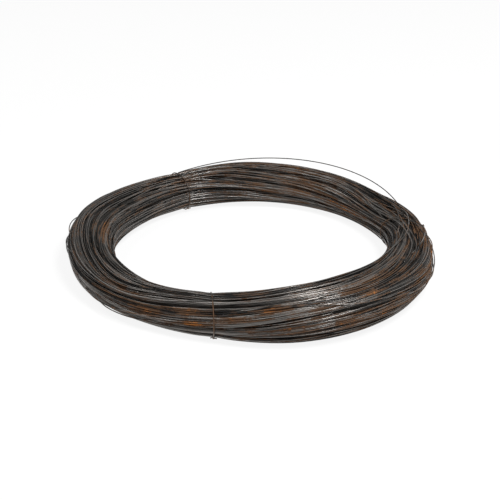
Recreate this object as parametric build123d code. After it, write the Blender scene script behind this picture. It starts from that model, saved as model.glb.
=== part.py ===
"""A flat coil of black annealed steel wire, held by three wire ties.

The coil lies on its side on the floor, with the eye upright along +Z. The origin is on the axis of
the eye, at the level of the floor. All sizes are in millimetres.
"""

import os
from math import atan2, cos, degrees, hypot, radians, sin, sqrt, tan

from build123d import *

# The wire and the coil that it is wound into
wire_diameter = 1.5
eye_radius = 200.0  # the former that the wire was laid round
outer_radius = 270.0
bundle_height = 58.5
bundle_roundness = 0.424  # the radius of its four corners, as a share of its lesser side
eye_wall_share = 0.35  # how much of the way up from its middle the eye's wall is upright and stays so

# How the bundle swells and sags between its ties: azimuth, outwards, upwards
swells = (
    (30, -4.0, -5.0),
    (60, 0.0, 0.0),
    (88, 6.0, 2.0),
    (150, 4.0, 0.0),
    (178, 4.0, 6.0),
    (202, -1.0, -1.0),
    (226, -9.0, -9.0),
    (285, 6.0, 10.0),
    (302, 9.0, 10.0),
    (330, 3.0, 4.0),
)
swell_step = 8.0  # degrees between the places where the swollen turns are worked out

# The turns that show on the outside of the bundle
turn_pitch = 1.6  # from one turn to the next, side by side
turn_relief = 0.4  # how far each turn stands out from the groove beside it
turn_flattening = 0.1  # below the grooves, where turns lie on the floor and against the former

# One turn that has sprung out of the bundle over the back: a circle that lies askew
loose_turn_lay = 3.4  # how much tighter it is than the middle of the bundle
loose_turn_offset = (0.5, 23.0)  # its centre, away from the axis of the eye
loose_turn_sink = 20.6  # its centre, below the top of the bundle
loose_turn_tilt = 7.6
loose_turn_uphill = 59.4  # the azimuth of its highest point
loose_turn_clearance = 0.3  # over the bundle, where its two ends go back in

# The ties, and the neck where each one draws the bundle in
tie_wire_diameter = 1.5
tie_sink = 0.2  # how far a tie lies below the flat faces that the coil rests on
tie_clearance = 0.3
neck_margin = 6.0  # from the tie to the end of the neck, on both sides
knot_radius = 1.6
knot_clearance = 0.2
tail_length = 9.0
tail_lift = 15.0  # degrees that the cut ends stand away from the bundle

# Each tie: azimuth, skew of its loop in plan, and the corner that holds its knot (outward, upward)
ties = {
    "front_tie": (256.6, 18.0, (1, -1)),
    "back_tie": (120.0, 0.0, (-1, -1)),
    "right_tie": (7.5, -30.0, (1, 1)),
}

# Worked out from the sizes above. The crests stand out past the flats that the coil lies on.
crest_proud = turn_relief + turn_flattening
crest_width = outer_radius - eye_radius + crest_proud
crest_height = bundle_height + crest_proud
bundle_corner = bundle_roundness * min(crest_width, crest_height)
mean_radius = outer_radius - crest_width / 2
mid_height = bundle_height - crest_height / 2
loose_turn_radius = mean_radius - loose_turn_lay
loose_turn_height = bundle_height - loose_turn_sink
tie_radius = tie_wire_diameter / 2
tie_inset = crest_proud + tie_sink + tie_radius
neck_depth = tie_inset + tie_radius + tie_clearance
knot_inset = neck_depth - knot_clearance - knot_radius


def crossings(skew):
    """Where a plane at a skew to a radius crosses the inner and the outer crests.

    Both are distances along the plane from the middle of the bundle, outwards.
    """
    off_axis, along = mean_radius * sin(radians(skew)), mean_radius * cos(radians(skew))
    return [sqrt(radius**2 - off_axis**2) - along for radius in (outer_radius - crest_width, outer_radius)]


def bundle_outline(inset=0.0, skew=0.0):
    """The outline round the crests of the turns in such a plane, set inwards by a distance."""
    inner, outer = crossings(skew)
    outline = RectangleRounded(outer - inner - 2 * inset, crest_height - 2 * inset, bundle_corner - inset)
    return Pos((inner + outer) / 2, 0) * outline


def bundle_section(inset=0.0):
    """The corners of the bundle's cut face, from each turn's crest to the groove beside it.

    A corner's X is its distance from the axis of the eye and its Y its height. Corners past the
    floor or the former are moved back onto them, and those between two others there are left out.
    """
    crests = bundle_outline(inset).wire()
    count = round(crests.length / turn_pitch)
    corners = []
    for turn in range(count):
        groove = (turn + 0.5) / count
        along = crests.tangent_at(groove)
        inward = Vector(-along.Y, along.X)
        if inward.dot(crests.position_at(groove)) > 0:
            inward = -inward
        corners.append(crests.position_at(turn / count))
        corners.append(crests.position_at(groove) + inward * turn_relief)
    placed = [Vector(max(mean_radius + c.X, eye_radius), max(mid_height + c.Y, 0)) for c in corners]
    before, after = placed[-1:] + placed[:-1], placed[1:] + placed[:1]
    return [
        corner
        for last, corner, following in zip(before, placed, after)
        if not last.X == corner.X == following.X and not last.Y == corner.Y == following.Y
    ]


def swell_at(azimuth):
    """How far the bundle swells outwards and upwards: eased between the swells and the ties."""
    stations = [(place, outwards, upwards) for place, outwards, upwards in swells]
    for edge in (edge for tie_name in ties for edge in neck(*ties[tie_name][:2])):
        stations.append((edge % 360, 0.0, 0.0))
    stations = sorted(stations)
    stations = [(stations[-1][0] - 360, *stations[-1][1:])] + stations
    stations.append((stations[1][0] + 360, *stations[1][1:]))
    for (start, *low), (end, *high) in zip(stations, stations[1:]):
        if start <= azimuth % 360 <= end:
            share = (azimuth % 360 - start) / (end - start)
            eased = share * share * (3 - 2 * share)
            return [a + (b - a) * eased for a, b in zip(low, high)]


def swollen(corner, outwards, upwards):
    """A corner of the section where the bundle swells. The floor and the eye's wall stay put."""
    outer = max(0, (corner.X - mean_radius) / (outer_radius - mean_radius))
    height = corner.Y / bundle_height
    off_eye = max(0, (corner.Y - mid_height) / (bundle_height - mid_height) - eye_wall_share)
    lifted = outer * height + (1 - outer) * off_eye / (1 - eye_wall_share)
    return Vector(corner.X + outwards * outer * min(1, 2 * height), corner.Y + upwards * lifted)


def turned(corner, azimuth):
    """A corner of the section, carried round the eye."""
    return Vector(corner.X, 0, corner.Y).rotate(Axis.Z, azimuth)


def still(corner):
    """Whether a corner keeps its place where the bundle swells."""
    return swollen(corner, 1, 1) == corner


def course(corner, start, end):
    """The line that a corner follows between two azimuths."""
    if still(corner):
        return ThreePointArc(*(turned(corner, azimuth) for azimuth in (start, (start + end) / 2, end)))
    count = round((end - start) / swell_step)
    azimuths = [start + (end - start) * step / count for step in range(count + 1)]
    places = [turned(swollen(corner, *swell_at(azimuth)), azimuth) for azimuth in azimuths]
    tangents = [Vector(0, 1, 0).rotate(Axis.Z, azimuth) for azimuth in (start, end)]
    return Spline(*places, tangents=tangents)


def walls(corners, start, end, swelling=True):
    """The faces of a stretch of the bundle between two azimuths, open at both ends."""
    faces = []
    for corner, following in zip(corners, corners[1:] + corners[:1]):
        if not swelling or (still(corner) and still(following)):
            profile = Line(turned(corner, start), turned(following, start))
            faces.append(Face.revolve(profile.edge(), end - start, Axis.Z))
        else:
            sides = [course(place, start, end).edge() for place in (corner, following)]
            faces.append(Face.make_surface_from_curves(*sides))
    return faces


def cut_face(corners, azimuth):
    """The bundle cut through at an azimuth."""
    return make_face(Polyline(*(turned(corner, azimuth) for corner in corners), close=True))


def neck(azimuth, skew):
    """The two azimuths between which a tie draws the bundle in."""
    half_length = crest_width / 2 * tan(radians(abs(skew))) + neck_margin
    half_angle = degrees(half_length / eye_radius)
    return azimuth - half_angle, azimuth + half_angle


def wire_coil():
    """The bundle as one closed skin: full stretches of it, and a neck between them at each tie."""
    necks = sorted(neck(azimuth, skew) for azimuth, skew, _ in ties.values())
    starts = [end for _, end in necks]
    ends = [start for start, _ in necks[1:]] + [necks[0][0] + 360]
    full, drawn_in = bundle_section(), bundle_section(neck_depth)
    skin = []
    for start, end in zip(starts, ends):
        skin += walls(full, start, end)
    for start, end in necks:
        skin += walls(drawn_in, start, end, swelling=False)
        for azimuth in (start, end):
            skin += (cut_face(full, azimuth) - cut_face(drawn_in, azimuth)).faces()
    return Solid(Shell(skin))


def room_over_bundle(point):
    """How far a point above the bundle lies outside the crests of the turns."""
    outwards, upwards = swell_at(degrees(atan2(point.Y, point.X)))
    across = abs(hypot(point.X, point.Y) - mean_radius - outwards / 2)
    across -= crest_width / 2 + outwards / 2 - bundle_corner
    up = point.Z - upwards - mid_height - (crest_height / 2 - bundle_corner)
    return hypot(max(across, 0), max(up, 0)) + min(max(across, up), 0) - bundle_corner


def loose_turn():
    """The turn that lies over the back, as far as it is clear of the bundle at both ends."""
    centre = Pos(*loose_turn_offset, loose_turn_height)
    lean = centre * Rot(0, 0, loose_turn_uphill) * Rot(0, -loose_turn_tilt, 0)
    wire_radius = wire_diameter / 2

    def reach(step):
        """The angle from the highest point to the last place that is clear."""
        angle = 0
        while True:
            place = lean * Rot(0, 0, angle + step) * Pos(loose_turn_radius, 0, 0)
            if room_over_bundle(place.position) < wire_radius + loose_turn_clearance:
                return angle
            angle += step

    start, end = reach(-0.1), reach(0.1)
    arc = Torus(loose_turn_radius, wire_radius, major_angle=end - start, align=None)
    return lean * Rot(0, 0, start) * arc


def tie_plane(azimuth, skew):
    """The plane of a tie's loop: x points outward and y up, from the middle of the bundle."""
    middle = Vector(mean_radius, 0, mid_height).rotate(Axis.Z, azimuth)
    outward = Vector(1, 0, 0).rotate(Axis.Z, azimuth + skew)
    return Plane(origin=middle, x_dir=outward, z_dir=outward.cross(Vector(0, 0, 1)))


def tie(azimuth, skew, knot_corner):
    """A loop of wire round the bundle, with its two ends crossed in a knot at one corner."""
    plane = tie_plane(azimuth, skew)
    path = (plane * bundle_outline(tie_inset, skew)).wire()
    loop = sweep(Plane(origin=path @ 0, z_dir=path % 0) * Circle(tie_radius), path)

    outward, upward = knot_corner
    inner, outer = crossings(skew)
    corner_centre = (
        outer - bundle_corner if outward > 0 else inner + bundle_corner,
        upward * (crest_height / 2 - bundle_corner),
    )
    normal = (plane.x_dir * outward + plane.y_dir * upward).normalized()
    knot = plane.from_local_coords(corner_centre) + normal * (bundle_corner - knot_inset)
    along_coil = Vector(0, 1, 0).rotate(Axis.Z, azimuth)
    tail = Cylinder(tie_radius, tail_length, align=(Align.CENTER, Align.CENTER, Align.MIN))
    knotted = Pos(knot) * Sphere(knot_radius)
    for side in (-1, 1):
        away = along_coil * side + normal * tan(radians(tail_lift))
        knotted += Plane(origin=knot, z_dir=away) * tail
    return knotted + loop


os.makedirs("parts", exist_ok=True)
export_step(wire_coil(), "parts/wire_coil.step")
export_step(loose_turn(), "parts/loose_turn.step")
for name, (azimuth, skew, knot_corner) in ties.items():
    export_step(tie(azimuth, skew, knot_corner), f"parts/{name}.step")
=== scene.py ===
"""Looks of a flat coil of black annealed steel wire, laid over its solid model.

The bundle is drawn as real wire: windings of some hundred turns each, which follow the hanks that
the turns gather into, sink into the valleys between them and swell between the ties. Lengths in
the tables below are millimetres. An azimuth is in degrees round the eye, from the right of the
coil over its back. A place is a share of the way round the bundle's section: 0 faces outwards,
0.25 up, 0.5 into the eye and 0.75 down.
"""

import bpy
import numpy as np
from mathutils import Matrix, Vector


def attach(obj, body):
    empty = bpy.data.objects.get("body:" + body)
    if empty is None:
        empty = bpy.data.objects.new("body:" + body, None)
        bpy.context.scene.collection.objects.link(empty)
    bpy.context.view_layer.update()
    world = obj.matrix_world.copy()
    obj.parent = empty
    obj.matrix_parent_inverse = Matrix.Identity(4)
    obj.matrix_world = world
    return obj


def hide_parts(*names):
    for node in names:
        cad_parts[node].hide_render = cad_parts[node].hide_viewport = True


bl_info = {
    "name": "Annealed Wire Coil",
    "version": (1, 0, 0),
    "blender": (4, 5, 0),
    "location": "View3D > Sidebar > Wire Coil",
    "description": "Winds a coil of black annealed wire and ties it",
    "category": "Object",
}

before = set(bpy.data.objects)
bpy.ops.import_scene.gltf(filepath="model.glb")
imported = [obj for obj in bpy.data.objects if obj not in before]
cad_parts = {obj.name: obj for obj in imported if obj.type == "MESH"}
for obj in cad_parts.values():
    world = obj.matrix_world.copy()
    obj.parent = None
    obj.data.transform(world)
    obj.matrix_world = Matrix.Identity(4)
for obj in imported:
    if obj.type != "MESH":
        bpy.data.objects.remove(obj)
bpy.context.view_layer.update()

MM = 0.001
TURN = 2 * np.pi
MEAN_RADIUS = 235.0
MIDDLE_HEIGHT = 29.0

# Half the width and half the height of the bundle's section, on average and inside a tie
HALF_SECTION = (34.8, 29.3)
TIED_HALF_SECTION = (34.0, 28.5)

# The bundle between its ties: how far it reaches outwards and upwards at each azimuth
OUTER_RADIUS = (
    (0, 265), (30, 262), (60, 266), (90, 278), (120, 269), (150, 276), (180, 273),
    (210, 265), (240, 256), (258, 258), (285, 276), (300, 281), (330, 276),
)
HEIGHT = (
    (0, 57), (30, 51), (60, 58), (90, 60), (120, 56), (150, 58), (178, 65),
    (205, 55), (232, 47), (255, 55), (285, 69), (300, 69), (330, 62),
)
EYE_RADIUS = (
    (0, 203), (30, 201), (60, 199), (90, 197), (120, 200), (150, 197), (195, 205),
    (240, 195), (285, 200), (315, 193), (345, 200),
)

# The valleys between hanks: (azimuth, place, depth) along each one, in order of place
VALLEYS = (
    ((0, 0.00, 2.0), (60, 0.01, 2.0), (130, 0.00, 2.5), (190, -0.02, 2.0), (235, -0.05, 2.5),
     (262, -0.02, 6.0), (285, 0.05, 7.5), (312, 0.07, 6.0), (335, 0.04, 3.5)),
    ((0, 0.225, 8.5), (16, 0.225, 6.0), (32, 0.225, 2.5), (60, 0.20, 2.0), (110, 0.15, 2.0),
     (160, 0.09, 2.0), (200, 0.045, 3.5), (223, 0.08, 5.5), (245, 0.122, 6.5), (270, 0.148, 5.0),
     (305, 0.16, 1.5), (342, 0.21, 7.0)),
    ((0, 0.345, 2.0), (24, 0.40, 5.0), (54, 0.355, 4.5), (80, 0.336, 4.5), (106, 0.272, 4.0),
     (150, 0.24, 1.5), (202, 0.172, 4.5), (223, 0.145, 4.5), (240, 0.185, 3.0), (266, 0.204, 5.5),
     (285, 0.235, 5.5), (312, 0.272, 4.0), (340, 0.32, 2.0)),
    ((20, 0.47, 2.5), (72, 0.448, 4.0), (90, 0.416, 5.0), (105, 0.38, 4.0), (140, 0.345, 2.5),
     (176, 0.324, 9.0), (192, 0.288, 7.0), (215, 0.26, 2.0), (260, 0.29, 2.0), (290, 0.32, 2.5),
     (330, 0.37, 2.0)),
    ((15, 0.52, 3.0), (61, 0.54, 5.0), (84, 0.516, 6.5), (94, 0.488, 6.5), (110, 0.46, 6.0),
     (149, 0.452, 6.0), (176, 0.44, 5.5), (210, 0.41, 2.0), (270, 0.43, 2.0), (320, 0.49, 2.0)),
    ((0, 0.62, 2.5), (90, 0.64, 2.5), (180, 0.61, 2.5), (270, 0.63, 2.5)),
    ((0, 0.72, 2.0), (120, 0.70, 2.0), (240, 0.73, 2.0)),
    ((0, 0.81, 2.0), (90, 0.83, 2.0), (200, 0.80, 2.0)),
    ((0, 0.90, 2.5), (100, 0.91, 2.5), (230, 0.89, 2.5), (268, 0.91, 3.0), (300, 0.93, 2.5)),
)
VALLEY_DEEPENING = 1.12  # times the depths above
VALLEY_WIDTH = 2.7  # from a valley's line to where it is about a third as deep
HANK_CROWN = 0.9  # how much lower the edges of a hank lie than its middle

# Each tie: azimuth, skew of its loop in plan, place of its knot
TIES = {
    "front_tie": (256.6, 18.0, 0.89),
    "back_tie": (120.0, 0.0, 0.61),
    "right_tie": (7.5, -30.0, 0.11),
}
WAIST_DEPTH = 1.1  # how far a tie draws the bundle in
WAIST_WIDTH = 3.5  # degrees from a tie to where the bundle is drawn in about a third as far
TIE_STANDING = 1.75  # from the skin to the middle of a tie's wire, in radii of it
TIE_LIFT = (9, 0.2)  # how its height wavers: knots in the whole tie, and spread
TIE_POINTS = 220  # along its loop
KNOT_SHARE = 0.018  # the part of the loop, on each side of the knot, that the tie's ends take up
KNOT_REACH = 5  # points of the loop, on each side, that give way to a curve into the knot

# The two ends of a tie at its knot: points beside the tie, along it and out of the bundle
FIRST_END = (
    (4.6, 1.0, 1.9), (3.2, 0.8, 1.6), (1.6, -0.6, 1.5), (-0.6, -0.4, 2.1), (-0.4, 1.2, 0.7),
)
LAST_END = (
    (0.4, -1.2, 0.7), (0.6, 0.4, 0.1), (-1.6, 0.9, 0.9), (-2.9, -0.3, 1.5), (-4.2, -0.8, 1.8),
)

# The outer turns, in windings that weave through each other: how many turns each has, how deep it
# lies, and how far its turns sway sideways together
LAYERS = ((64, 0.0, 0.9), (60, 0.2, 1.1), (66, 0.9, 1.5), (112, 1.9, 2.0), (100, 3.2, 2.0))
RINGS_IN_TURN = 128
SKIN_CLEARANCE = 0.1  # between the bundle's skin and the wires of the first winding

# The smooth random lines that a winding's wire follows: knots in each turn, and spread
WANDER_IN_PITCHES = (7, 0.2)
WANDER = (2.3, 0.6)
LIFT = ((6, 0.35), (1.7, 0.35))
TONE = ((1.3, 0.5), (12, 0.25))
STREAK_KNOTS = 50
SWELL = 0.45  # how far whole hanks of a winding rise and sink
LIFT_LIMITS = (-1.3, 2.5)  # the most that lift and swell together may raise or sink a wire

# The turn that has sprung out: a circle that lies askew, and how far it shows on both sides of its
# highest point
LOOSE_RADIUS = 231.3
LOOSE_CENTRE = (0.5, 23.0, 38.9)
LOOSE_TILT = 7.6
LOOSE_UPHILL = 59.4  # the azimuth of its highest point
LOOSE_SPAN = (-58, 62)
LOOSE_POINTS = 160  # along it

# Single wires that lie loose: how far each one arches over the bundle, how worn it is, and the
# stations (azimuth, place) that it passes
STRAYS = (
    (2.8, 0.0, (142, 0.03), (188, -0.03)), (2.5, 0.0, (150, -0.05), (196, 0.02)),
    (1.5, 0.0, (120, 0.06), (168, 0.02)), (4.5, 0.1, (205, -0.06), (244, 0.02)),
    (2.5, 0.0, (212, -0.10), (240, -0.04)), (1.5, 0.0, (198, -0.02), (232, -0.07)),
    (2.5, 0.0, (318, 0.02), (352, -0.03)), (3.0, 0.0, (335, -0.06), (372, 0.02)),
    (1.5, 0.0, (345, 0.06), (382, 0.00)), (1.6, 0.2, (16, 0.40), (52, 0.27)),
    (1.6, 0.3, (328, 0.41), (341, 0.335), (353, 0.28), (361, 0.252), (374, 0.20), (386, 0.17)),
    (1.5, 0.2, (326, 0.39), (345, 0.33), (357, 0.30), (367, 0.285), (384, 0.25)),
    (1.9, 0.3, (380, 0.37), (364, 0.325), (352, 0.272), (344, 0.235), (330, 0.21)),
    (1.8, 0.1, (382, 0.34), (366, 0.30), (354, 0.255), (345, 0.21), (332, 0.17)),
    (1.6, 0.2, (4, 0.20), (34, 0.34)), (1.8, 0.2, (356, 0.36), (386, 0.20)),
    (1.4, 0.1, (350, 0.12), (380, 0.30)), (1.5, 0.1, (338, 0.20), (368, 0.10)),
    (1.4, 0.0, (2, 0.10), (40, 0.18)), (2.5, 0.0, (158, 0.02), (184, 0.08)),
    (2.5, 0.0, (166, -0.04), (192, 0.05)), (1.5, 0.1, (138, 0.10), (172, 0.05)),
    (2.0, 0.1, (170, 0.47), (206, 0.40)), (1.0, 0.1, (262, 0.10), (300, 0.18)),
    (1.0, 0.1, (275, 0.14), (318, 0.05)), (1.0, 0.1, (100, 0.20), (150, 0.30)),
    (1.0, 0.1, (60, 0.20), (96, 0.29)), (1.0, 0.1, (224, 0.10), (262, 0.20)),
)
STRAY_DIVE = 4.0  # how deep the ends of a stray wire lie
STRAY_STANDING = 0.2  # how much further out all of it lies than its arch says
STRAY_WANDER = (5, 0.5)  # how it wavers sideways: knots in the whole wire, and spread

# Rust as it lies in patches: azimuth, place, how far it spreads along and across, how strong
RUST_PATCHES = (
    (232, 0.04, 16, 0.06, 0.6), (248, 0.08, 9, 0.03, 0.65), (253, 0.99, 6, 0.03, 0.85),
    (266, 0.05, 8, 0.02, 0.5), (276, 0.105, 6, 0.015, 0.95), (301, 0.17, 4, 0.02, 0.85),
    (306, 0.12, 4, 0.015, 0.8), (282, 0.98, 16, 0.04, 0.5), (330, 0.03, 14, 0.06, 0.5),
    (348, 0.04, 12, 0.06, 0.6), (352, 0.12, 6, 0.03, 0.6), (186, 0.36, 12, 0.03, 0.5),
    (112, 0.34, 10, 0.03, 0.55), (100, 0.30, 12, 0.05, 0.45), (85, 0.50, 12, 0.02, 0.6),
    (60, 0.46, 22, 0.05, 0.45), (40, 0.50, 18, 0.05, 0.55), (75, 0.22, 16, 0.05, 0.4),
    (20, 0.30, 8, 0.03, 0.4), (225, 0.14, 12, 0.03, 0.35), (312, 0.20, 20, 0.04, 0.3),
    (310, 0.00, 50, 0.12, 0.3), (70, 0.35, 45, 0.25, 0.25), (5, 0.10, 25, 0.20, 0.25),
)

# Where the scale is paler or darker, partly from wear and partly as painted light: painted
# highlights on the front right and the back right, and painted shade on the right, at the front,
# on the back left and over a glint beside the back tie. The same numbers, and how much paler or
# darker
WEAR_AND_PAINTED_LIGHT_PATCHES = (
    (292, 0.22, 18, 0.10, 0.38), (300, 0.07, 14, 0.05, 0.12), (346, 0.15, 32, 0.30, -0.28),
    (262, 0.15, 10, 0.12, -0.12), (324, 0.10, 18, 0.12, -0.25), (58, 0.30, 26, 0.25, 0.20),
    (150, 0.25, 22, 0.20, -0.10), (107, 0.42, 12, 0.13, -0.50), (107, 0.22, 12, 0.12, -0.35),
)

# How worn and how streaked the stray wires and the ties are: knots in the whole wire, and spread
STRAY_TONE, STRAY_STREAK_KNOTS = (6, 0.4), 20
TIE_TONE, TIE_STREAK_KNOTS = (8, 0.4), 30

# The inner turns are drawn as one dark surface, its black painted shade between the outer turns:
# its grid, its depth below the skin, and how much of the valleys' depth it follows
CORE_ROWS, CORE_COLUMNS = 120, 72
CORE_DEPTH = 6.0
CORE_SINK = 0.8

# Seeds of the random lines. Each piece of a group takes the next one.
WINDING_SEED, STRAY_SEED, TIE_SEED = 11, 200, 300


def around(stations, azimuths):
    """Read (azimuth, value) stations at any azimuths, closed over a full circle.

    Between two stations the value follows a cubic. Its slope at each one is that of the chord
    from the station before to the station after.
    """
    places, values = np.array(stations, float).T
    places = np.concatenate([places[-2:] - 360, places, places[:3] + 360])
    values = np.concatenate([values[-2:], values, values[:3]])
    slopes = np.gradient(values, places, edge_order=1)
    azimuths = np.mod(azimuths, 360)
    index = np.searchsorted(places, azimuths, side="right") - 1
    span = places[index + 1] - places[index]
    share = (azimuths - places[index]) / span
    rise = values[index + 1] - values[index]
    start, end = slopes[index] * span, slopes[index + 1] * span
    smooth = share * share * (3 - 2 * share)
    bend = share * (1 - share) * ((1 - share) * start - share * end)
    return values[index] + rise * smooth + bend


def smooth_noise(rng, where, knots_per_unit):
    """A random line through one value per knot, eased between them, with a spread of about 1."""
    knots = where * knots_per_unit
    values = rng.uniform(-1.7, 1.7, int(np.max(knots)) + 3)
    index = knots.astype(int)
    share = knots - index
    share = share * share * (3 - 2 * share)
    return values[index] * (1 - share) + values[index + 1] * share


def wavering(rng, where, *lines):
    """The sum of smooth random lines, each given as its knots per unit and its spread."""
    return sum(smooth_noise(rng, where, knots) * spread for knots, spread in lines)


def field_noise(rng, azimuths, places, round_waves, cross_waves):
    """Plane waves over azimuth and place, summed to a spread of about 1, closed both ways."""
    count = 14
    total = np.zeros(np.broadcast(azimuths, places).shape)
    for _ in range(count):
        along = rng.integers(-round_waves, round_waves + 1)
        across = rng.integers(1, cross_waves + 1)
        phase = rng.uniform(0, TURN)
        total += np.cos(np.radians(azimuths) * along + TURN * places * across + phase)
    return total * np.sqrt(2 / count)


class Section:
    """The bundle's section: a superellipse, |x/a|^p + |y/b|^p = 1, walked at an even pace."""

    power = 2.4
    angles = np.linspace(0, TURN, 1441)

    def __init__(self):
        x, y = self.outline(self.angles, *HALF_SECTION)
        steps = np.hypot(np.diff(x), np.diff(y))
        walked = np.concatenate([[0], np.cumsum(steps)])
        self.perimeter = walked[-1]
        self.places = walked / walked[-1]

    def outline(self, angles, half_width, half_height):
        """Points of the superellipse: a cosine and a sine, each raised to 2/p with its sign."""
        cosine, sine = np.cos(angles), np.sin(angles)
        x = half_width * np.sign(cosine) * np.abs(cosine) ** (2 / self.power)
        y = half_height * np.sign(sine) * np.abs(sine) ** (2 / self.power)
        return x, y

    def points(self, azimuths, places, depths):
        """Points of the bundle in millimetres, and the way out of it, at depths below its skin."""
        angles = np.interp(np.mod(places, 1), self.places, self.angles)
        outer, eye = around(OUTER_RADIUS, azimuths), around(EYE_RADIUS, azimuths)
        half_width, half_height = (outer - eye) / 2, around(HEIGHT, azimuths) / 2
        x, _ = self.outline(angles, half_width, half_height)
        drawn_in = tie_waist(azimuths, x) + depths
        x_reach, y_reach = half_width - drawn_in, half_height - drawn_in
        x, y = self.outline(angles, x_reach, y_reach)
        radius = (outer + eye) / 2 + x
        turn = np.radians(azimuths)
        position = np.stack([radius * np.cos(turn), radius * np.sin(turn), half_height + y], -1)
        out_x, out_z = np.cos(angles) / x_reach, np.sin(angles) / y_reach
        outward = np.stack([out_x * np.cos(turn), out_x * np.sin(turn), out_z], -1)
        return position, outward / np.linalg.norm(outward, axis=-1, keepdims=True)


def skew_shift(skew, across):
    """How many degrees round the coil a skewed loop lies, at a distance across the bundle."""
    return np.degrees(across * np.tan(np.radians(skew)) / (MEAN_RADIUS + across))


def tie_waist(azimuths, across):
    """How far the ties draw the bundle in: a bell curve round each one, in millimetres."""
    total = 0
    for azimuth, skew, _ in TIES.values():
        away = azimuths - azimuth - skew_shift(skew, across)
        away = np.mod(away + 180, 360) - 180
        total = total + WAIST_DEPTH * np.exp(-((away / WAIST_WIDTH) ** 2))
    return total


SECTION = Section()


def hank_lines(azimuths):
    """The place and the depth of every valley at the azimuths."""
    lines = [around([(a, p) for a, p, _ in valley], azimuths) for valley in VALLEYS]
    depths = [around([(a, d) for a, _, d in valley], azimuths) for valley in VALLEYS]
    return np.array(lines), np.array(depths)


MEAN_LINES = np.array([np.mean([place for _, place, _ in valley]) for valley in VALLEYS])


def follow_hanks(azimuths, lanes):
    """Carry lanes, which run evenly round the bundle, to places that keep inside their hank.

    A lane's share of the way from one mean valley to the next stays the same while both move.
    Returns the places, and how deep a wire sinks there: a bell curve round each valley, and a
    parabola over each hank that is lowest at its edges.
    """
    lines, depths = hank_lines(azimuths)
    knots = np.concatenate([MEAN_LINES, [MEAN_LINES[0] + 1]])
    lines = np.concatenate([lines, lines[:1] + 1])
    depths = np.concatenate([depths, depths[:1]])
    lanes = np.mod(lanes - knots[0], 1) + knots[0]
    hank = np.clip(np.searchsorted(knots, lanes, side="right") - 1, 0, len(MEAN_LINES) - 1)
    column = np.arange(len(azimuths))
    share = (lanes - knots[hank]) / (knots[hank + 1] - knots[hank])
    low, high = lines[hank, column], lines[hank + 1, column]
    places = low + share * (high - low)
    width = (high - low) * SECTION.perimeter
    near_low, near_high = share * width, (1 - share) * width
    sink = VALLEY_DEEPENING * depths[hank, column] * np.exp(-((near_low / VALLEY_WIDTH) ** 2))
    sink += VALLEY_DEEPENING * depths[hank + 1, column] * np.exp(-((near_high / VALLEY_WIDTH) ** 2))
    crown = HANK_CROWN * (2 * share - 1) ** 2
    return places, sink + crown


def tube(name, path, outward, radius, sides, values):
    """Carry a round profile along a path, and give its points the values of the path's points.

    At each point of the path the ring lies across its tangent. A ring's points are the path's
    point plus radius times (cosine of the outward direction plus sine of the sideways one). A
    path that would sink into the floor is lifted until the wire lies on it.
    """
    path = np.column_stack([path[:, :2], np.maximum(path[:, 2], radius)])
    tangent = np.gradient(path, axis=0)
    tangent /= np.linalg.norm(tangent, axis=1, keepdims=True)
    outward = outward - (outward * tangent).sum(1, keepdims=True) * tangent
    outward /= np.linalg.norm(outward, axis=1, keepdims=True)
    sideways = np.cross(tangent, outward)
    angle = TURN * np.arange(sides) / sides
    ring = np.cos(angle)[:, None] * outward[:, None] + np.sin(angle)[:, None] * sideways[:, None]
    points = (path[:, None] + radius * ring).reshape(-1, 3) * MM
    rings = len(path)
    first = np.arange(rings - 1)[:, None] * sides
    second = first + sides
    here = np.arange(sides)[None]
    beside = (here + 1) % sides
    quads = np.stack([first + here, first + beside, second + beside, second + here], -1)
    quads = quads.reshape(-1, 4)
    mesh = bpy.data.meshes.new(name)
    caps = [np.arange(sides)[::-1], (rings - 1) * sides + np.arange(sides)]
    mesh.from_pydata(points.tolist(), [], quads.tolist() + [cap.tolist() for cap in caps])
    mesh.shade_smooth()
    for label, data in values.items():
        add_value(mesh, label, np.repeat(data, sides))
    piece = bpy.data.objects.new(name, mesh)
    bpy.context.collection.objects.link(piece)
    return piece


def add_value(mesh, label, data):
    """Give every point of a mesh a number that its material can read."""
    attribute = mesh.attributes.new(label, "FLOAT", "POINT")
    attribute.data.foreach_set("value", np.asarray(data, np.float32))


def patches(table, azimuths, places):
    """A bell curve for each patch of a table, over azimuth and place, times its strength."""
    bells = []
    for azimuth, place, along, across, strength in table:
        away = (np.mod(azimuths - azimuth + 180, 360) - 180) / along
        beside = (np.mod(places - place + 0.5, 1) - 0.5) / across
        bells.append(strength * np.exp(-away * away - beside * beside))
    return np.array(bells)


def rust_amount(azimuths, places):
    """How rusty the skin is: the strongest patch there."""
    return patches(RUST_PATCHES, azimuths, places).max(0)


def wear_and_painted_light(azimuths, places):
    """Wear and painted light on the scale, paler or darker: all patches there together."""
    return patches(WEAR_AND_PAINTED_LIGHT_PATCHES, azimuths, places).sum(0)


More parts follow.
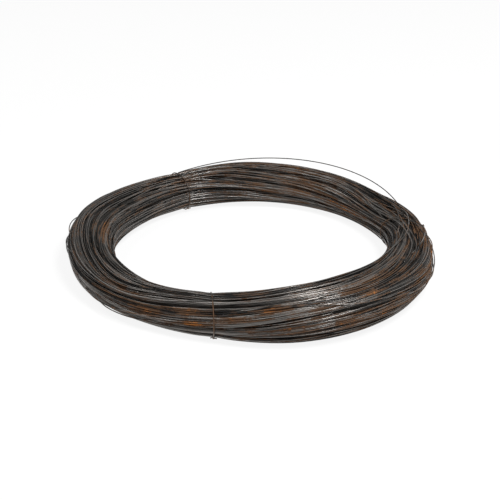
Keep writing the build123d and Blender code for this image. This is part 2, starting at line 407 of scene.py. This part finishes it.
def winding(name, turns, seed, depth, weave):
    """One length of wire wound round the bundle, from one lane to the next at every turn.

    The lane grows by one share in each turn. The wire wanders beside its lane, and higher or
    lower than its neighbours, along smooth random lines.
    """
    radius = bpy.context.scene.wire_coil.wire_diameter / MM / 2
    rng = np.random.default_rng(seed)
    wound = np.arange(turns * RINGS_IN_TURN + 1) / RINGS_IN_TURN
    azimuths = wound * 360
    lanes = wound / turns
    pitch = SECTION.perimeter / turns
    knots, pitches = WANDER_IN_PITCHES
    wander = wavering(rng, wound, (knots, pitches * pitch), WANDER)
    together = field_noise(rng, azimuths, lanes, round_waves=8, cross_waves=5) * weave
    places, sink = follow_hanks(azimuths, lanes + together / SECTION.perimeter)
    places = places + wander / SECTION.perimeter
    lift = wavering(rng, wound, *LIFT)
    swell = field_noise(rng, azimuths, lanes, round_waves=6, cross_waves=24) * SWELL
    depths = depth + radius + sink + SKIN_CLEARANCE + np.clip(lift + swell, *LIFT_LIMITS)
    path, outward = SECTION.points(azimuths, places, depths)
    tone = wavering(rng, wound, *TONE)
    values = {
        # the tone takes wear, and also painted highlight and painted shade from the patches
        "tone": tone + wear_and_painted_light(azimuths, places),
        "rust": rust_amount(azimuths, places),
        "streak": smooth_noise(rng, wound, STREAK_KNOTS),
    }
    return tube(name, path, outward, radius, sides=6, values=values)


def smooth_path(corners, step):
    """A curve through corners, with a point at about every step.

    Between two corners it is a cubic. Its slope at each one is that of the chord from the corner
    before to the corner after.
    """
    corners = np.array(corners, float)
    ahead = np.vstack([corners, 2 * corners[-1] - corners[-2]])
    ahead = np.vstack([2 * ahead[0] - ahead[1], ahead])
    points = []
    for before, start, end, after in zip(ahead, ahead[1:], ahead[2:], ahead[3:]):
        count = max(2, int(np.linalg.norm(end - start) / step))
        share = (np.arange(count) / count)[:, None]
        slope_in, slope_out = (end - before) / 2, (after - start) / 2
        bend = (1 - share) * slope_in - share * slope_out
        smooth = share * share * (3 - 2 * share)
        points.append(start + (end - start) * smooth + share * (1 - share) * bend)
    return np.vstack([*points, corners[-1:]])


def stray(name, seed, lift, worn, *stations):
    """One wire that leaves its neighbours and runs through its stations in a low arch.

    Its height over the skin is the lift times a sine's arch, less a depth into which both of
    its ends dive.
    """
    radius = bpy.context.scene.wire_coil.wire_diameter / MM / 2
    rng = np.random.default_rng(seed)
    degree = np.radians(MEAN_RADIUS)  # the length of one degree round the coil
    corners = [(azimuth, place * SECTION.perimeter / degree) for azimuth, place in stations]
    route = smooth_path(corners, step=0.5)
    azimuths, places = route[:, 0], route[:, 1] * degree / SECTION.perimeter
    share = np.linspace(0, 1, len(route))
    places = places + wavering(rng, share, STRAY_WANDER) / SECTION.perimeter
    arch = np.sin(np.pi * share)
    depths = STRAY_DIVE * (1 - arch) ** 2 - lift * arch - STRAY_STANDING
    path, outward = SECTION.points(azimuths, places, depths)
    values = {
        "tone": worn + wavering(rng, share, STRAY_TONE),
        "rust": rust_amount(azimuths, places),
        "streak": smooth_noise(rng, share, STRAY_STREAK_KNOTS),
    }
    return tube(name, path, outward, radius, sides=8, values=values)


def tie(name, azimuth, skew, knot_place, seed):
    """A tie: one wire laid round the bundle, its ends crossed at the knot and splayed sideways.

    The loop follows the bundle's section in a plane that stands skew to it. Each end is a curve
    through points set out from the knot's middle.
    """
    radius = bpy.context.scene.wire_coil.tie_diameter / MM / 2
    rng = np.random.default_rng(seed)
    share = np.linspace(0, 1, TIE_POINTS)
    places = knot_place + KNOT_SHARE + share * (1 - 2 * KNOT_SHARE)
    angles = np.interp(np.mod(places, 1), SECTION.places, SECTION.angles)
    across, _ = SECTION.outline(angles, *TIED_HALF_SECTION)
    azimuths = azimuth + skew_shift(skew, across)
    depths = wavering(rng, share, TIE_LIFT) - TIE_STANDING * radius
    loop, _ = SECTION.points(azimuths, places, depths)
    _, out = SECTION.points(np.array([azimuth]), np.array([knot_place]), np.array([-radius]))
    middle = (loop[0] + loop[-1]) / 2
    along = loop[0] - loop[-1]
    along /= np.linalg.norm(along)
    directions = np.array([np.cross(along, out[0]), along, out[0]])
    first = middle + np.array(FIRST_END) @ directions
    last = middle + np.array(LAST_END) @ directions
    into_loop = smooth_path([first[-1], loop[KNOT_REACH - 1]], step=0.7)
    out_of_loop = smooth_path([loop[-KNOT_REACH], last[0]], step=0.7)
    path = np.vstack([
        smooth_path(first, step=0.5), into_loop[1:], loop[KNOT_REACH:-KNOT_REACH],
        out_of_loop[:-1], smooth_path(last, step=0.5),
    ])
    turn = np.radians(azimuth)
    centre = np.array([MEAN_RADIUS * np.cos(turn), MEAN_RADIUS * np.sin(turn), MIDDLE_HEIGHT])
    share = np.linspace(0, 1, len(path))
    values = {
        "tone": 0.2 + wavering(rng, share, TIE_TONE),
        "rust": np.full(len(path), 0.2),
        "streak": smooth_noise(rng, share, TIE_STREAK_KNOTS),
    }
    return tube(name, path, path - centre, radius, sides=10, values=values)


def hex_colour(value):
    """Turn an sRGB hex value such as 3A3632 into the linear colour that a shader takes."""
    srgb = np.array([int(value[i : i + 2], 16) for i in (0, 2, 4)]) / 255
    linear = np.where(srgb <= 0.04045, srgb / 12.92, ((srgb + 0.055) / 1.055) ** 2.4)
    return (*linear.tolist(), 1.0)


def add_node(tree, kind, settings=None, **links):
    """Add a node. A link is a value for the input of that name, or a socket to join to it."""
    node = tree.nodes.new(kind)
    for key, value in (settings or {}).items():
        setattr(node, key, value)
    for key, value in links.items():
        socket = node.inputs[int(key[1:])] if key[0] == "_" else node.inputs[key.replace("_", " ")]
        if isinstance(value, bpy.types.NodeSocket):
            tree.links.new(value, socket)
        else:
            socket.default_value = value
    return node


def new_material(name):
    """A material with an empty tree, and its tree."""
    material = bpy.data.materials.new(name)
    material.use_nodes = True
    material.node_tree.nodes.clear()
    return material, material.node_tree


def annealed_wire(name, scale_colour, worn_colour, rust_colour, fresh_rust_colour):
    """Black annealed low-carbon steel wire, drawn and then heated in a closed pot.

    The pot leaves a thin, tight scale of iron oxide. It is nearly black and half metallic, and
    shines dully in the direction of drawing. Damp storage turns it brown in streaks along single
    wires, and orange where water stood.
    """
    material, tree = new_material(name)
    tone = add_node(tree, "ShaderNodeAttribute", {"attribute_name": "tone"})
    rust = add_node(tree, "ShaderNodeAttribute", {"attribute_name": "rust"})
    streak = add_node(tree, "ShaderNodeAttribute", {"attribute_name": "streak"})
    place = add_node(tree, "ShaderNodeTexCoord")
    # The scale's blots are a few millimetres wide and its grain is under 0.1 mm. Both are drawn
    # coarser, or they wouldn't show.
    blot_size, grain_size = 0.018, 0.0035
    blots = add_node(
        tree, "ShaderNodeTexNoise",
        Vector=place.outputs["Object"], Scale=1 / blot_size, Detail=3.0, Roughness=0.6,
    )
    grain = add_node(
        tree, "ShaderNodeTexNoise",
        Vector=place.outputs["Object"], Scale=1 / grain_size, Detail=2.0, Roughness=0.6,
    )
    mixed_colour = ("ShaderNodeMix", {"data_type": "RGBA"})
    scaled_sum = ("ShaderNodeMath", {"operation": "MULTIPLY_ADD"})
    soft_step = ("ShaderNodeMapRange", {"interpolation_type": "SMOOTHSTEP"})

    # The scale, from thick and black to worn thin and grey; painted highlight and painted shade
    # in the tone push it towards the grey and the black too
    patchy = add_node(tree, *scaled_sum, _0=blots.outputs["Fac"], _1=0.5, _2=0.25)
    shade = add_node(tree, *scaled_sum, _0=tone.outputs["Fac"], _1=0.95, _2=patchy.outputs[0])
    scale = add_node(
        tree, *mixed_colour, _0=shade.outputs[0], _6=scale_colour, _7=worn_colour
    )

    # Rust gathers where the patches, the wire's own streaks, the blots and the grain add up
    wet = add_node(tree, *scaled_sum, _0=streak.outputs["Fac"], _1=0.26, _2=rust.outputs["Fac"])
    blotted = add_node(tree, *scaled_sum, _0=blots.outputs["Fac"], _1=1.0, _2=wet.outputs[0])
    spread = add_node(tree, *scaled_sum, _0=grain.outputs["Fac"], _1=0.9, _2=blotted.outputs[0])
    brown = add_node(tree, *soft_step, Value=spread.outputs[0], From_Min=0.98, From_Max=1.5)
    orange = add_node(tree, *soft_step, Value=spread.outputs[0], From_Min=1.72, From_Max=1.98)
    browned = add_node(
        tree, *mixed_colour, _0=brown.outputs[0], _6=scale.outputs[2], _7=rust_colour
    )
    rusted = add_node(
        tree, *mixed_colour, _0=orange.outputs[0], _6=browned.outputs[2], _7=fresh_rust_colour
    )

    # Tight scale shines dully like metal, and rust hardly at all
    rough = add_node(tree, "ShaderNodeMapRange", Value=brown.outputs[0], To_Min=0.31, To_Max=0.8)
    metal = add_node(tree, "ShaderNodeMapRange", Value=brown.outputs[0], To_Min=0.75, To_Max=0.15)
    bump = add_node(
        tree, "ShaderNodeBump", Strength=0.35, Distance=0.0002, Height=grain.outputs["Fac"]
    )
    shader = add_node(
        tree, "ShaderNodeBsdfPrincipled",
        Base_Color=rusted.outputs[2], Roughness=rough.outputs[0], Metallic=metal.outputs[0],
        Normal=bump.outputs["Normal"],
    )
    add_node(tree, "ShaderNodeOutputMaterial", Surface=shader.outputs[0])
    return material


def dark_core():
    """The turns deep inside, drawn plain black and dull as painted shade between the outer ones."""
    material, tree = new_material("painted_shade_inner_turns")
    shader = add_node(
        tree, "ShaderNodeBsdfPrincipled",
        Base_Color=hex_colour("16130F"), Roughness=0.9, Metallic=0.0,
    )
    add_node(tree, "ShaderNodeOutputMaterial", Surface=shader.outputs[0])
    return material


class WireCoilSettings(bpy.types.PropertyGroup):
    """Sizes and colours of the coil."""

    wire_diameter: bpy.props.FloatProperty(
        name="Wire diameter", description="Thickness of the coiled wire", default=1.5 * MM,
        min=0.0005, max=0.006, unit="LENGTH", precision=4,
    )
    tie_diameter: bpy.props.FloatProperty(
        name="Tie diameter", description="Thickness of the wire of the ties", default=1.5 * MM,
        min=0.0005, max=0.006, unit="LENGTH", precision=4,
    )
    scale_colour: bpy.props.FloatVectorProperty(
        name="Scale", description="Colour of the oxide scale", default=hex_colour("222120"),
        size=4, min=0, max=1, subtype="COLOR",
    )
    worn_colour: bpy.props.FloatVectorProperty(
        name="Worn scale", description="Colour where the scale is thin",
        default=hex_colour("8A8682"), size=4, min=0, max=1, subtype="COLOR",
    )
    rust_colour: bpy.props.FloatVectorProperty(
        name="Rust", description="Colour of old brown rust", default=hex_colour("583E28"),
        size=4, min=0, max=1, subtype="COLOR",
    )
    fresh_rust_colour: bpy.props.FloatVectorProperty(
        name="Fresh rust", description="Colour of fresh orange rust",
        default=hex_colour("A8692E"), size=4, min=0, max=1, subtype="COLOR",
    )
    tie_colour: bpy.props.FloatVectorProperty(
        name="Tie", description="Colour of the scale on the ties", default=hex_colour("2A2421"),
        size=4, min=0, max=1, subtype="COLOR",
    )


def dress(piece, material, slot, *nodes):
    """Give a piece its material, hang it on the root body and hide the parts that it stands in for.

    The slot is not used.
    """
    piece.data.materials.append(material)
    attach(piece, "root")
    if nodes:
        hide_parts(*nodes)


def coil_material():
    """The coiled wire's material, made once."""
    material = bpy.data.materials.get("black_annealed_wire")
    if material is None:
        settings = bpy.context.scene.wire_coil
        material = annealed_wire(
            "black_annealed_wire", settings.scale_colour, settings.worn_colour,
            settings.rust_colour, settings.fresh_rust_colour,
        )
    return material


def tie_material():
    """The ties' material, made once: the same kind of wire, handled more and browner."""
    material = bpy.data.materials.get("black_annealed_tie_wire")
    if material is None:
        settings = bpy.context.scene.wire_coil
        material = annealed_wire(
            "black_annealed_tie_wire", settings.tie_colour, hex_colour("6F655C"),
            settings.rust_colour, hex_colour("7A5233"),
        )
    return material


class WIRECOIL_OT_core(bpy.types.Operator):
    """Fill the bundle behind its outer turns."""

    bl_idname = "wirecoil.core"
    bl_label = "Add inner turns"

    def execute(self, context):
        # A grid over azimuth and place, closed both ways, that lies a set depth below the skin
        rows, columns = np.arange(CORE_ROWS), np.arange(CORE_COLUMNS)
        azimuths, places = np.meshgrid(
            rows * 360 / CORE_ROWS, columns / CORE_COLUMNS, indexing="ij"
        )
        azimuths, places = azimuths.ravel(), places.ravel()
        _, sink = follow_hanks(azimuths, places)
        points, _ = SECTION.points(azimuths, places, CORE_DEPTH + CORE_SINK * sink)
        here = rows[:, None] * CORE_COLUMNS
        ahead = (here + CORE_COLUMNS) % (CORE_ROWS * CORE_COLUMNS)
        beside = (columns + 1) % CORE_COLUMNS
        quads = np.stack([here + columns, ahead + columns, ahead + beside, here + beside], -1)
        mesh = bpy.data.meshes.new("inner_turns")
        mesh.from_pydata((points * MM).tolist(), [], quads.reshape(-1, 4).tolist())
        mesh.shade_smooth()
        core = bpy.data.objects.new("inner_turns", mesh)
        context.collection.objects.link(core)
        dress(core, dark_core(), "coil_wire", "wire_coil")
        return {"FINISHED"}


class WIRECOIL_OT_windings(bpy.types.Operator):
    """Wind the outer turns, layer over layer."""

    bl_idname = "wirecoil.windings"
    bl_label = "Wind the outer turns"

    def execute(self, context):
        for index, (turns, depth, weave) in enumerate(LAYERS):
            name = f"turns_layer_{index + 1}"
            layer = winding(name, turns, WINDING_SEED + index, depth, weave)
            dress(layer, coil_material(), "coil_wire")
        return {"FINISHED"}


class WIRECOIL_OT_loose_turn(bpy.types.Operator):
    """Lay the turn that has sprung out over the back."""

    bl_idname = "wirecoil.loose_turn"
    bl_label = "Add the loose turn"

    def execute(self, context):
        # Each point is the centre plus the radius times (cosine of the angle uphill plus sine of
        # the angle across)
        tilt, uphill = np.radians(LOOSE_TILT), np.radians(LOOSE_UPHILL)
        angles = np.radians(np.linspace(*LOOSE_SPAN, LOOSE_POINTS))[:, None]
        level = np.array([np.cos(uphill), np.sin(uphill), 0])
        along = np.cos(tilt) * level + np.array([0, 0, np.sin(tilt)])
        across = np.array([-np.sin(uphill), np.cos(uphill), 0])
        outward = np.cos(angles) * along + np.sin(angles) * across
        path = np.array(LOOSE_CENTRE) + LOOSE_RADIUS * outward
        values = {
            "tone": np.full(len(path), -0.9),
            "rust": np.full(len(path), 0.1),
            "streak": np.zeros(len(path)),
        }
        radius = context.scene.wire_coil.wire_diameter / MM / 2
        loose = tube("loose_turn_wire", path, outward, radius, sides=12, values=values)
        dress(loose, coil_material(), "coil_wire", "loose_turn")
        return {"FINISHED"}


class WIRECOIL_OT_strays(bpy.types.Operator):
    """Draw single wires that lie loose on the bundle."""

    bl_idname = "wirecoil.strays"
    bl_label = "Add stray wires"

    def execute(self, context):
        for index, stray_wire in enumerate(STRAYS):
            piece = stray(f"stray_wire_{index + 1:02d}", STRAY_SEED + index, *stray_wire)
            dress(piece, coil_material(), "coil_wire")
        return {"FINISHED"}


class WIRECOIL_OT_ties(bpy.types.Operator):
    """Tie the bundle."""

    bl_idname = "wirecoil.ties"
    bl_label = "Add the ties"

    def execute(self, context):
        for index, (name, (azimuth, skew, knot_place)) in enumerate(TIES.items()):
            wire = tie(f"{name}_wire", azimuth, skew, knot_place, TIE_SEED + index)
            dress(wire, tie_material(), "tie_wire", name)
        return {"FINISHED"}


class WIRECOIL_OT_stage(bpy.types.Operator):
    """Lay the floor, hang the lights and set up the camera."""

    bl_idname = "wirecoil.stage"
    bl_label = "Set the stage"

    def execute(self, context):
        lay_floor()
        hang_lights(context.scene)
        aim_camera(context.scene)
        return {"FINISHED"}


def lay_floor():
    """A wide plain floor, almost white, which keeps the coil's shadow."""
    reach = 6.0  # metres from its middle to its edges
    corners = [(-reach, -reach, 0), (reach, -reach, 0), (reach, reach, 0), (-reach, reach, 0)]
    mesh = bpy.data.meshes.new("floor")
    mesh.from_pydata(corners, [], [(0, 1, 2, 3)])
    floor = bpy.data.objects.new("floor", mesh)
    bpy.context.collection.objects.link(floor)
    material, tree = new_material("white_paper_floor")
    paper = add_node(tree, "ShaderNodeBsdfDiffuse", Color=hex_colour("FAFAFA"))
    glow = add_node(tree, "ShaderNodeEmission", Color=(1, 1, 1, 1), Strength=1.0)
    rays = add_node(tree, "ShaderNodeLightPath")
    seen = add_node(
        tree, "ShaderNodeMath", {"operation": "MAXIMUM"},
        _0=rays.outputs["Is Camera Ray"], _1=rays.outputs["Is Glossy Ray"],
    )
    # The camera sees this much plain white, and for the rest the lit paper with its shadow
    white_share = add_node(
        tree, "ShaderNodeMath", {"operation": "MULTIPLY"}, _0=seen.outputs[0], _1=0.88
    )
    blend = add_node(
        tree, "ShaderNodeMixShader",
        Fac=white_share.outputs[0], _1=paper.outputs[0], _2=glow.outputs[0],
    )
    add_node(tree, "ShaderNodeOutputMaterial", Surface=blend.outputs[0])
    mesh.materials.append(material)


def hang_lights(scene):
    """A white room, and large soft lamps above the front right and over the coil."""
    world = bpy.data.worlds.new("white_studio")
    world.use_nodes = True
    tree = world.node_tree
    tree.nodes.clear()
    room_light = 0.23  # what falls on the coil from a room that looks white to the camera
    rays = add_node(tree, "ShaderNodeLightPath")
    strength = add_node(
        tree, "ShaderNodeMapRange",
        Value=rays.outputs["Is Camera Ray"], To_Min=room_light, To_Max=1.0,
    )
    room = add_node(tree, "ShaderNodeBackground", Color=(1, 1, 1, 1), Strength=strength.outputs[0])
    add_node(tree, "ShaderNodeOutputWorld", Surface=room.outputs[0])
    scene.world = world
    lamps = (
        ("front_right_softbox", (1.2, -0.85, 2.7), 1.2, 98),
        ("overhead_softbox", (-1.5, 0.0, 2.7), 1.3, 24),
    )  # name, place and diameter in metres, watts
    for name, place, size, power in lamps:
        lamp = bpy.data.lights.new(name, "AREA")
        lamp.shape = "DISK"
        lamp.size = size
        lamp.energy = power
        light = bpy.data.objects.new(name, lamp)
        light.location = place
        light.rotation_euler = (-Vector(place)).to_track_quat("-Z", "Y").to_euler()
        bpy.context.collection.objects.link(light)


def aim_camera(scene):
    """The photograph's view: 25.6 degrees above the floor, from 1.8 m away."""
    elevation, distance = np.radians(25.587), 1.8029
    aim = Vector((-0.0023, -0.0304, 0.032))
    focal_length, frame_width = 1227.5, 500  # in the photograph's pixels
    camera = bpy.data.cameras.new("camera")
    camera.sensor_width = 36
    camera.lens = camera.sensor_width * focal_length / frame_width
    camera.clip_start = 0.05
    view = bpy.data.objects.new("camera", camera)
    view.location = aim + distance * Vector((0, -np.cos(elevation), np.sin(elevation)))
    view.rotation_euler = (np.pi / 2 - elevation, 0, 0)
    bpy.context.collection.objects.link(view)
    scene.camera = view
    scene.view_settings.view_transform = "Standard"


class WIRECOIL_PT_panel(bpy.types.Panel):
    """Sizes, colours and steps of the coil."""

    bl_idname = "WIRECOIL_PT_panel"
    bl_label = "Wire Coil"
    bl_space_type = "VIEW_3D"
    bl_region_type = "UI"
    bl_category = "Wire Coil"

    def draw(self, context):
        for name in WireCoilSettings.__annotations__:
            self.layout.prop(context.scene.wire_coil, name)
        for operator in OPERATORS:
            self.layout.operator(operator.bl_idname)


OPERATORS = (
    WIRECOIL_OT_core,
    WIRECOIL_OT_windings,
    WIRECOIL_OT_loose_turn,
    WIRECOIL_OT_strays,
    WIRECOIL_OT_ties,
    WIRECOIL_OT_stage,
)


def register():
    """Register the classes and hang the settings on the scene."""
    for kind in (WireCoilSettings, *OPERATORS, WIRECOIL_PT_panel):
        bpy.utils.register_class(kind)
    bpy.types.Scene.wire_coil = bpy.props.PointerProperty(type=WireCoilSettings)


def unregister():
    """Take the settings and the classes away again."""
    del bpy.types.Scene.wire_coil
    for kind in (WIRECOIL_PT_panel, *reversed(OPERATORS), WireCoilSettings):
        bpy.utils.unregister_class(kind)


def main():
    """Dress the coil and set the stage."""
    register()
    for operator in OPERATORS:
        group, name = operator.bl_idname.split(".")
        getattr(getattr(bpy.ops, group), name)()


if __name__ == "__main__":
    main()
